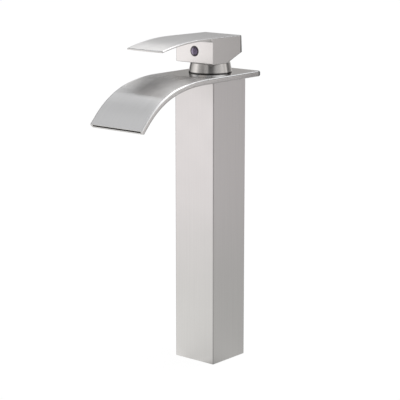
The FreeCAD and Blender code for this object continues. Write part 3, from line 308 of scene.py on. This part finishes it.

# Lever: where the painted shade on the hub's rear corners starts, across and rearward
HUB_SIDE, HUB_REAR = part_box("handle_lever")[1][:2]
HUB_SHADED_CORNER = (HUB_SIDE - 1.05 * MM, HUB_REAR - 2.77 * MM)
# Tones of the painted shade on the hub's rear corners, the painted highlight on the blade's tip
# and the painted shade on its heel
HUB_CORNER_SHADE, TIP_HIGHLIGHT, HEEL_SHADE = 0.3, 1.15, 0.93
# A face that looks up or down by more than the first of these is the blade's, and one that
# looks forward or back by more than the second is brushed from side to side
BLADE_FACES, FRONT_FACES = 0.95, 0.8
# Places along the blade where its tip and its heel come in
TIP_RANGE, HEEL_RANGE = (-58 * MM, -88 * MM), (-35 * MM, 0.0)
BLADE_ROUGH, HUB_ROUGH = 0.33, 0.2

# The painted shade on the rear corners of the plate and the hub reaches its full tone over this
# distance
CORNER_SHADE_FADE = 0.5 * MM


def scratched(tree, strokes):
    """The grain of the scratches, and the tint that nickel has over it: a soft silver,
    faintly warm."""
    grain = add(tree, "ShaderNodeTexNoise", {"Vector": strokes, "Scale": 1.0, "Detail": 2.0,
                                             "Roughness": 0.6})
    tint = add(tree, "ShaderNodeMix", {SHARE: grain, COLOUR_A: linear("#d8d6d4"),
                                       COLOUR_B: linear("#e2e0de")}, data_type="RGBA")
    return grain, tint


def satin(tree, coordinates, grain, tint, run, rough, stretch, grit=FINE_GRIT, edge=CRISP_EDGE):
    """Satin metal, whose gloss changes with its scratches and where cloths rubbed it."""
    streaks = add(tree, "ShaderNodeMapRange", {"Value": grain, "From Min": NOISE_LOW,
                                               "From Max": NOISE_HIGH, "To Min": -grit,
                                               "To Max": grit})
    patches = add(tree, "ShaderNodeTexNoise", {"Vector": coordinates["Object"],
                                               "Scale": PATCHES_PER_METRE, "Detail": 2.0})
    rubbed = add(tree, "ShaderNodeMapRange", {"Value": patches, "From Min": NOISE_LOW,
                                              "From Max": NOISE_HIGH, "To Min": -RUB,
                                              "To Max": RUB})
    uneven = add(tree, "ShaderNodeMath", {0: streaks, 1: rubbed}, operation="ADD")
    uneven = add(tree, "ShaderNodeMath", {0: uneven, 1: rough}, operation="ADD")
    # Scratches scatter light across themselves, so highlights smear at right angles to them
    smear = add(tree, "ShaderNodeVectorMath", {0: coordinates["Normal"], 1: run},
                operation="CROSS_PRODUCT")
    smear = add(tree, "ShaderNodeVectorTransform", {0: smear}, vector_type="VECTOR",
                convert_from="OBJECT", convert_to="WORLD")
    rounded = add(tree, "ShaderNodeBevel", {"Radius": edge}, samples=4)
    relief = add(tree, "ShaderNodeBump", {"Height": grain, "Strength": SCRATCH_STRENGTH,
                                          "Distance": SCRATCH_DEPTH, "Normal": rounded})
    surface(tree, {"Base Color": tint, "Roughness": uneven, "Normal": relief, "Tangent": smear,
                   "Metallic": 1.0, "Anisotropic": stretch})


def shade_rear_corners(tree, tint, place, shaded_corner, tone):
    """A tint darkened at the rear upright corners: painted shade, as they reflect a darker part
    of the room.
    """
    side, rear = shaded_corner
    outer = add(tree, "ShaderNodeMapRange", {"Value": unsigned(tree, place)["X"],
                                             "From Min": side, "From Max": side + CORNER_SHADE_FADE})
    along = add(tree, "ShaderNodeSeparateXYZ", {0: place}).outputs["Y"]
    behind = add(tree, "ShaderNodeMapRange", {"Value": along, "From Min": rear,
                                              "From Max": rear + CORNER_SHADE_FADE})
    return toned(tree, tint, tone, outer, behind)


def column_nickel(name):
    """Nickel plate on a square tube, brushed upwards with a fine belt."""
    material, tree, coordinates = new_material(name)
    place = coordinates["Object"]
    strokes = add(tree, "ShaderNodeVectorMath", {0: place, 1: (ACROSS, ACROSS, ALONG)},
                  operation="MULTIPLY")
    grain, tint = scratched(tree, strokes)
    # Painted shade: the upright corners are darkened, as their rounding reflects a darker part
    # of the room
    x, y, _ = unsigned(tree, place)
    outer = add(tree, "ShaderNodeMath", {0: x, 1: y}, operation="MINIMUM")
    shaded_corner = add(tree, "ShaderNodeMapRange", {"Value": outer,
                                              "From Min": COLUMN_SHADE_RANGE[0],
                                              "From Max": COLUMN_SHADE_RANGE[1]})
    tint = toned(tree, tint, COLUMN_CORNER_SHADE, shaded_corner)
    satin(tree, coordinates, grain, tint, UPWARD, rough=0.30, stretch=0.9)
    return material


def plate_nickel(name):
    """Nickel plate on the spout, brushed from its rear to its slot with a coarse belt."""
    material, tree, coordinates = new_material(name)
    place = coordinates["Object"]
    strokes = add(tree, "ShaderNodeVectorMath", {0: place, 1: (COARSE_ACROSS, ALONG, ALONG)},
                  operation="MULTIPLY")
    grain, tint = scratched(tree, strokes)
    sideways = unsigned(tree, coordinates["Normal"])["X"]
    along = add(tree, "ShaderNodeSeparateXYZ", {0: place}).outputs["Y"]
    level = add(tree, "ShaderNodeVectorMath", {0: place, 1: (1, 1, 0)}, operation="MULTIPLY")
    reach = add(tree, "ShaderNodeVectorMath", {0: level}, operation="LENGTH")
    # The rims are buffed after the faces.  The flat is finer too, and finest round the
    # bonnet, where it was turned to seat it and so has no run of its own
    rim = add(tree, "ShaderNodeMapRange", {"Value": sideways, "From Min": RIM_LOOK[0],
                                           "From Max": RIM_LOOK[1]})
    flat = add(tree, "ShaderNodeMapRange", {"Value": along, "From Min": FLAT_RANGE[0],
                                            "From Max": FLAT_RANGE[1], "To Max": FLAT_SHARE})
    seat = add(tree, "ShaderNodeMapRange", {"Value": reach, "From Min": SEAT_RANGE[0],
                                            "From Max": SEAT_RANGE[1]})
    buffed = add(tree, "ShaderNodeMath", {0: rim, 1: flat}, operation="MAXIMUM")
    buffed = add(tree, "ShaderNodeMath", {0: buffed, 1: seat}, operation="MAXIMUM")
    rough = add(tree, "ShaderNodeMapRange", {"Value": buffed, "To Min": PLATE_ROUGH,
                                             "To Max": RIM_ROUGH})
    rough = add(tree, "ShaderNodeMath", {0: seat, 1: -SEAT_POLISH, 2: rough},
                operation="MULTIPLY_ADD")
    stretch = add(tree, "ShaderNodeMapRange", {"Value": seat, "To Min": 1.0, "To Max": 0.0})
    # Painted shade on the plate's rear upright corners
    tint = shade_rear_corners(tree, tint, place, PLATE_SHADED_CORNER, PLATE_CORNER_SHADE)
    # Painted shade: the rims' rounded beads are darkened towards the slot, where their highlight
    # fades
    slotward = add(tree, "ShaderNodeMapRange", {"Value": along, "From Min": SLOT_RANGE[0],
                                                "From Max": SLOT_RANGE[1]})
    bead = add(tree, "ShaderNodeMapRange", {"Value": sideways, "From Min": BEAD_LOOK[0],
                                            "From Max": BEAD_LOOK[1]})
    tint = toned(tree, tint, PLATE_BEAD_SHADE, slotward, bead, rim)
    # The sides are darker over the column
    rearward = add(tree, "ShaderNodeMapRange", {"Value": along, "From Min": REAR_RANGE[0],
                                                "From Max": REAR_RANGE[1]})
    side = add(tree, "ShaderNodeMapRange", {"Value": sideways, "From Min": SIDE_LOOK[0],
                                            "From Max": SIDE_LOOK[1]})
    tint = toned(tree, tint, PLATE_SIDE_TONE, rearward, side)
    satin(tree, coordinates, grain, tint, FORWARD, rough, stretch, grit=COARSE_GRIT)
    return material


def bonnet_nickel(name):
    """Nickel plate on a turned cone: scratches round the axis, glossier than the rest."""
    material, tree, coordinates = new_material(name)
    place = coordinates["Object"]
    level = add(tree, "ShaderNodeVectorMath", {0: place, 1: (1, 1, 0)}, operation="MULTIPLY")
    radius = add(tree, "ShaderNodeVectorMath", {0: level}, operation="LENGTH")
    height = add(tree, "ShaderNodeSeparateXYZ", {0: place}).outputs["Z"]
    strokes = add(tree, "ShaderNodeCombineXYZ", {0: radius, 1: height})
    strokes = add(tree, "ShaderNodeVectorMath", {0: strokes, "Scale": ACROSS}, operation="SCALE")
    grain, tint = scratched(tree, strokes)
    run = add(tree, "ShaderNodeVectorMath", {0: (0, 0, 1), 1: level},
              operation="CROSS_PRODUCT")
    # Polish and shadow stay in the joint with the spout as a dark line
    joint = add(tree, "ShaderNodeMapRange", {"Value": height, "From Min": JOINT_RANGE[0],
                                             "From Max": JOINT_RANGE[1]})
    tint = toned(tree, tint, JOINT_TONE, joint)
    satin(tree, coordinates, grain, tint, run, rough=0.17, stretch=0.8)
    return material


def lever_nickel(name):
    """Nickel plate on a casting, brushed along the blade and level round the hub."""
    material, tree, coordinates = new_material(name)
    place = coordinates["Object"]
    _, forward, upward = unsigned(tree, coordinates["Normal"])
    on_blade = add(tree, "ShaderNodeMath", {0: upward, 1: BLADE_FACES}, operation="GREATER_THAN")
    on_front = add(tree, "ShaderNodeMath", {0: forward, 1: FRONT_FACES},
                   operation="GREATER_THAN")
    blade = add(tree, "ShaderNodeVectorMath", {0: place, 1: (ACROSS, ALONG, ALONG)},
                operation="MULTIPLY")
    hub = add(tree, "ShaderNodeVectorMath", {0: place, 1: (ALONG, ALONG, ACROSS)},
              operation="MULTIPLY")
    strokes = add(tree, "ShaderNodeMix", {SHARE: on_blade, VECTOR_A: hub, VECTOR_B: blade},
                  data_type="VECTOR")
    run = add(tree, "ShaderNodeMix", {SHARE: on_front, VECTOR_A: (0, 1, 0),
                                      VECTOR_B: (1, 0, 0)}, data_type="VECTOR")
    grain, tint = scratched(tree, strokes)
    rough = add(tree, "ShaderNodeMapRange", {"Value": on_blade, "To Min": HUB_ROUGH,
                                             "To Max": BLADE_ROUGH})
    # Painted shade on the hub's rear upright corners
    tint = shade_rear_corners(tree, tint, place, HUB_SHADED_CORNER, HUB_CORNER_SHADE)
    # Painted highlight on the blade's tip and painted shade on its heel, as these parts reflect
    # a brighter and a darker part of the room
    along = add(tree, "ShaderNodeSeparateXYZ", {0: place}).outputs["Y"]
    highlit_tip = add(tree, "ShaderNodeMapRange", {"Value": along, "From Min": TIP_RANGE[0],
                                           "From Max": TIP_RANGE[1]})
    tint = toned(tree, tint, TIP_HIGHLIGHT, highlit_tip, on_blade)
    shaded_heel = add(tree, "ShaderNodeMapRange", {"Value": along, "From Min": HEEL_RANGE[0],
                                            "From Max": HEEL_RANGE[1]})
    tint = toned(tree, tint, HEEL_SHADE, shaded_heel, on_blade)
    satin(tree, coordinates, grain, tint, run, rough, stretch=1.0, edge=SOFT_EDGE)
    return material


# ---------------------------------------------------------------- the other finishes

# How far the grain of a plain finish moves its gloss, and how strongly its relief shows
GLOSS_SPREAD, RELIEF_STRENGTH = 0.05, 0.4

# Plug: speckles about 1 mm across, and the values of their noise where they come in
SPECKLE_SIZE, SPECKLE_DEPTH, SPECKLE_RANGE = 1.1 * MM, 0.01 * MM, (0.43, 0.57)
# Where the painted reflection comes in, sideways from the plug's middle, and the painted shadow
# of its rim, outwards
PAINTED_REFLECTION_RANGE, SHADOW_RIM_RANGE = (-0.6 * MM, -3.4 * MM), (2.9 * MM, 4.3 * MM)
PAINTED_REFLECTION_SHARE = 0.7


def plain_finish(name, dark, light, metallic, rough, grain_size, relief):
    """A moulded, cast, drawn or lapped finish with two close tones and a fine grain."""
    material, tree, coordinates = new_material(name)
    grain = add(tree, "ShaderNodeTexNoise", {"Vector": coordinates["Object"],
                                             "Scale": 1 / grain_size, "Detail": 3.0})
    tint = add(tree, "ShaderNodeMix", {SHARE: grain, COLOUR_A: linear(dark),
                                       COLOUR_B: linear(light)}, data_type="RGBA")
    gloss = add(tree, "ShaderNodeMapRange", {"Value": grain, "From Min": NOISE_LOW,
                                             "From Max": NOISE_HIGH,
                                             "To Min": rough - GLOSS_SPREAD,
                                             "To Max": rough + GLOSS_SPREAD})
    bump = add(tree, "ShaderNodeBump", {"Height": grain, "Strength": RELIEF_STRENGTH,
                                        "Distance": relief})
    surface(tree, {"Base Color": tint, "Roughness": gloss, "Normal": bump,
                   "Metallic": metallic})
    return material


def metallised_plug(name):
    """Moulded ABS with a vacuum-metallised violet face, speckled; one side is paled by a painted
    reflection, and a dark rim is painted shadow.
    """
    material, tree, coordinates = new_material(name)
    low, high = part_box("index_plug")
    place = add(tree, "ShaderNodeVectorMath", {0: coordinates["Object"], 1: (low + high) / 2},
                operation="SUBTRACT")
    speckle = add(tree, "ShaderNodeTexNoise", {"Vector": place, "Scale": 1 / SPECKLE_SIZE,
                                               "Detail": 2.0})
    speckle = add(tree, "ShaderNodeMapRange", {"Value": speckle, "From Min": SPECKLE_RANGE[0],
                                               "From Max": SPECKLE_RANGE[1]})
    face = add(tree, "ShaderNodeMix", {SHARE: speckle, COLOUR_A: linear("#2b2434"),
                                       COLOUR_B: linear("#6f647c")}, data_type="RGBA")
    # Painted reflection: the face is paler on one side, where it reflects the bright room
    sideways = add(tree, "ShaderNodeSeparateXYZ", {0: place}).outputs["X"]
    painted_reflection = add(tree, "ShaderNodeMapRange", {"Value": sideways, "From Min": PAINTED_REFLECTION_RANGE[0],
                                            "From Max": PAINTED_REFLECTION_RANGE[1], "To Max": PAINTED_REFLECTION_SHARE})
    face = add(tree, "ShaderNodeMix", {SHARE: painted_reflection, COLOUR_A: face,
                                       COLOUR_B: linear("#b3a9c0")}, data_type="RGBA")
    upright = add(tree, "ShaderNodeVectorMath", {0: place, 1: (1, 0, 1)}, operation="MULTIPLY")
    reach = add(tree, "ShaderNodeVectorMath", {0: upright}, operation="LENGTH")
    # Painted shadow: a near-black rim stands in for the shadow in the gap round the plug
    face = blend(tree, reach, SHADOW_RIM_RANGE, face, linear("#1c1a1b"))
    bump = add(tree, "ShaderNodeBump", {"Height": speckle, "Strength": RELIEF_STRENGTH,
                                        "Distance": SPECKLE_DEPTH})
    surface(tree, {"Base Color": face, "Normal": bump, "Metallic": 0.8, "Roughness": 0.2,
                   "Coat Weight": 0.5})
    return material


# Brushed nickel plate: satin silver whose highlights smear across the way it was brushed
nickel_upright = column_nickel("brushed_nickel_upright")
nickel_lengthwise = plate_nickel("brushed_nickel_lengthwise")
nickel_turned = bonnet_nickel("brushed_nickel_turned")
nickel_lever = lever_nickel("brushed_nickel_lever")
# Moulded ABS, metallised: dark violet, speckled and glossy
violet_abs = metallised_plug("metallised_violet_abs")
# Cast brass with machined faces: warm yellow, a fine sand grain
brass = plain_finish("cast_brass", "#b8924f", "#d2b06c", 1.0, 0.38, 0.8 * MM, 0.05 * MM)
# Drawn stainless steel: neutral grey, bright
steel = plain_finish("drawn_steel", "#b2b2b0", "#c6c6c4", 1.0, 0.28, 0.5 * MM, 0.01 * MM)
# Moulded nitrile rubber: near black, matt
rubber = plain_finish("moulded_rubber", "#121212", "#1d1d1d", 0.0, 0.7, 0.6 * MM, 0.03 * MM)
# Moulded acetal: milky white and grey, a low sheen
white_acetal = plain_finish("white_acetal", "#dcdcd4", "#e6e6df", 0.0, 0.4, 1.2 * MM, 0.02 * MM)
grey_acetal = plain_finish("grey_acetal", "#565a60", "#62666c", 0.0, 0.4, 1.2 * MM, 0.02 * MM)
# Lapped alumina ceramic: warm white, near mirror
ceramic = plain_finish("lapped_ceramic", "#ebe8e0", "#f4f1ea", 0.0, 0.14, 0.5 * MM, 0.003 * MM)

FINISHES = {
    nickel_upright: ["column"],
    nickel_lengthwise: ["spout_lower_shell", "spout_upper_shell"],
    nickel_turned: ["bonnet"],
    nickel_lever: ["handle_lever"],
    brass: ["base_block", "valve_body", "cartridge_nut", "stem"],
    steel: ["hot_inlet_tube", "cold_inlet_tube", "stem_pivot_pin", "handle_grub_screw"],
    rubber: ["base_gasket", "tube_o_rings", "spout_seal", "bonnet_seal", "housing_seal",
             "lower_port_seals", "upper_port_seals"],
    white_acetal: ["cartridge_housing", "cartridge_base"],
    grey_acetal: ["disc_carrier", "rotating_collar"],
    ceramic: ["fixed_disc", "moving_disc"],
    violet_abs: ["index_plug"],
}
for finish, names in FINISHES.items():
    for name in names:
        for slot in frame["nodes"][name].material_slots:
            slot.material = finish

light_the_room()
lay_the_floor()
hang_lamp("overhead_softbox", at=(0.0, 0.66, 1.62), aim=(0, 0, 0.27), width=1.2, depth=0.5,
          power=2.69)
hang_lamp("rim_softbox", at=(0.50, 0.72, 1.21), aim=(0, 0, 0.26), width=0.35, depth=0.35,
          power=0.14)


# ---------------------------------------------------------------- threads in the foot

# Hose ends are M10x1 and fixing studs M8x1.25
HOSE_PITCH, STUD_PITCH = 1.0 * MM, 1.25 * MM
TURNS, STEPS_PER_TURN = 9, 28
# The ridge's size and its first turn's height, as shares of the pitch
RIDGE_SIZE, FIRST_TURN = 0.45, 0.8


def cut_thread(name, x, y, radius, pitch):
    """The helical ridge of a cut thread, on the wall of an upright hole in the foot."""
    bpy.ops.mesh.primitive_circle_add(vertices=3, radius=RIDGE_SIZE * pitch,
                                      fill_type="NOTHING",
                                      location=(radius, 0, FIRST_TURN * pitch),
                                      rotation=(math.radians(90), math.radians(-90), 0))
    ridge = bpy.context.object
    ridge.name = name
    bpy.ops.object.transform_apply(location=True, rotation=True)
    turn = ridge.modifiers.new("turn", "SCREW")
    turn.screw_offset, turn.iterations = pitch, TURNS
    turn.steps = turn.render_steps = STEPS_PER_TURN
    turn.use_merge_vertices = True
    bpy.ops.object.modifier_apply(modifier=turn.name)
    bpy.ops.object.mode_set(mode="EDIT")
    bpy.ops.mesh.select_all(action="SELECT")
    bpy.ops.mesh.fill_holes(sides=3)
    bpy.ops.mesh.normals_make_consistent(inside=False)
    bpy.ops.object.mode_set(mode="OBJECT")
    bpy.ops.object.shade_smooth_by_angle(angle=math.radians(30))
    ridge.location = (x, y, 0)
    bpy.ops.object.transform_apply(location=True)
    ridge.data.materials.append(brass)
    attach(ridge, "faucet_body")


mounts = {mount["name"]: mount for mount in frame["record"]["mounts"]}
for name in ("hot_inlet", "cold_inlet"):
    x, y, _ = mounts[name]["pos_m"]
    cut_thread(f"{name}_thread", x, y, mounts[name]["dims"]["r_mm"] * MM, HOSE_PITCH)
studs = mounts["fixing_studs"]["dims"]
for name, way in (("front", -1), ("rear", 1)):
    cut_thread(f"{name}_stud_thread", 0, way * studs["spacing_y_mm"] / 2 * MM,
               studs["hole_r_mm"] * MM, STUD_PITCH)
